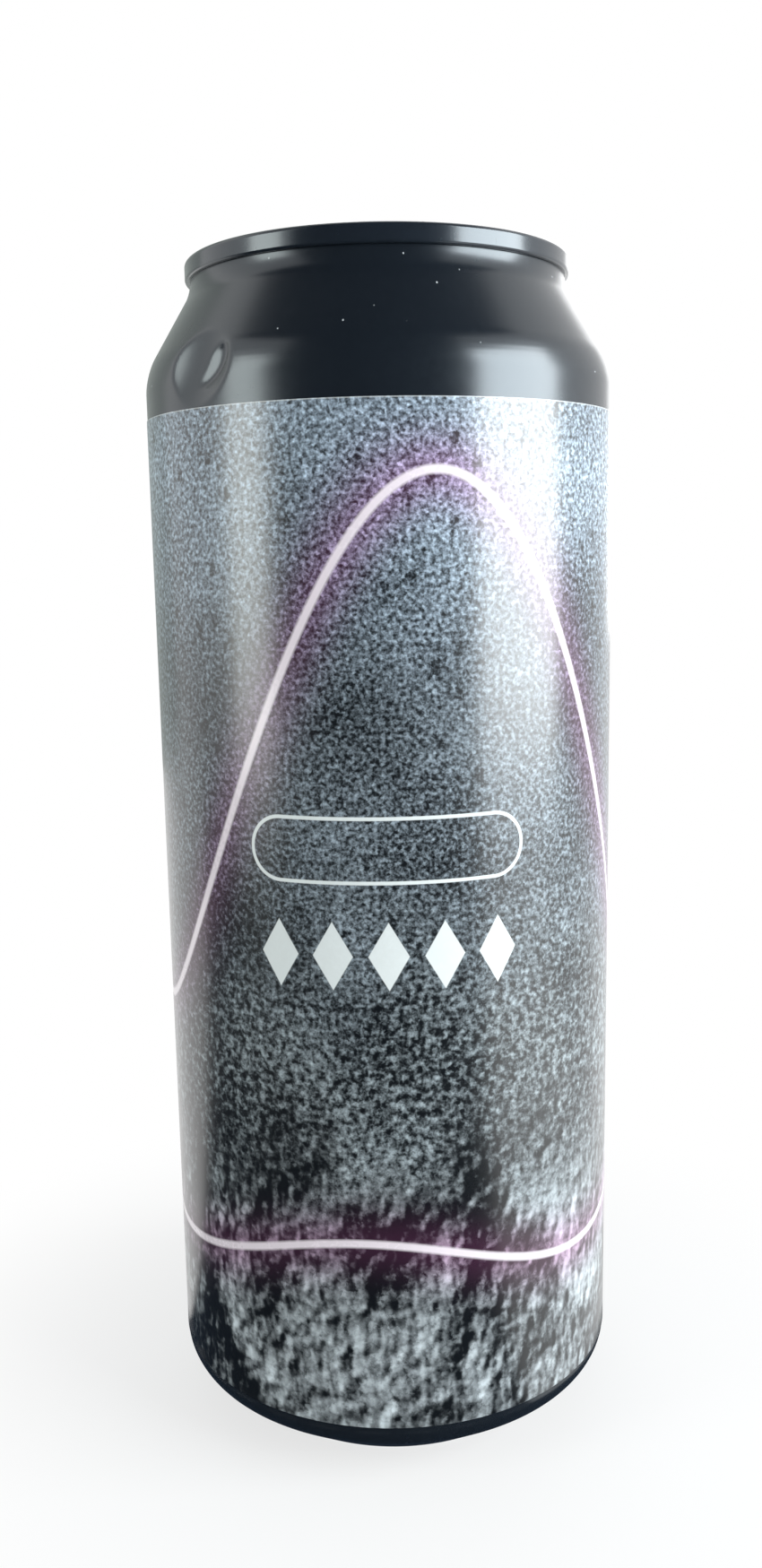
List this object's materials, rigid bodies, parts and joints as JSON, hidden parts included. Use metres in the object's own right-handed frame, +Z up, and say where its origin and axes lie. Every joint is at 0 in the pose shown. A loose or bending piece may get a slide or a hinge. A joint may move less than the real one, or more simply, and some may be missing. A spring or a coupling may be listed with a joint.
{
  "type": "beer can",
  "caption": "Tall slim-shouldered drinks can, shut and full, with a wrap-round label, a seamed-on end and a stay-on tab, and a small dent in its shoulder.",
  "frame": {"origin": "middle of the ring that the can stands on", "axes": "+Z up along the can's axis; the middle of the label's front faces -Y, and +X is to the right of someone who looks at it"},
  "size_m": [0.0664, 0.0664, 0.168],
  "materials": {
    "black_can": "satin black lacquer on aluminium",
    "label_film": "satin film, printed with a grey stone speckle",
    "black_end": "gloss black lacquer on aluminium",
    "black_tab": "gloss black lacquer on aluminium"
  },
  "bodies": {
    "root": {"can_body": "black_can", "label": "label_film", "can_end": "black_end", "tab": "black_tab"}
  },
  "joints": []
}
